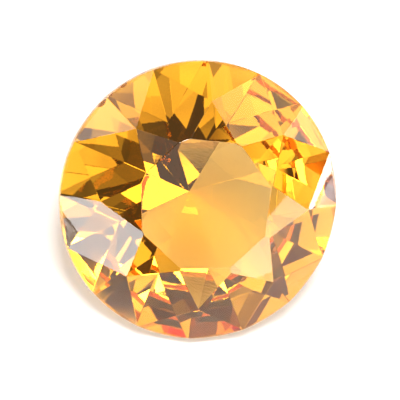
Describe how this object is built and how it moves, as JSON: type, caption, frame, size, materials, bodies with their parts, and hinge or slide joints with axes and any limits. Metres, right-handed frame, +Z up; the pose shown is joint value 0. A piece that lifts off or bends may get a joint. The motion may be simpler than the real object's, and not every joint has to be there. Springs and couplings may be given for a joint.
{
  "type": "round faceted citrine gemstone",
  "caption": "Loose round brilliant-cut citrine gemstone, golden and see-through, lying on a lower facet.",
  "frame": {"origin": "on the surface that the stone lies on, under the middle of its bounding box", "axes": "+Z is straight up from that surface; the stone lies on one lower main facet, so its table leans over towards -Y, and a little towards +X"},
  "size_m": [0.0078, 0.007, 0.005],
  "materials": {
    "citrine": "polished, clear golden yellow, with a frosted girdle"
  },
  "bodies": {
    "root": {"citrine": "citrine"}
  },
  "joints": []
}
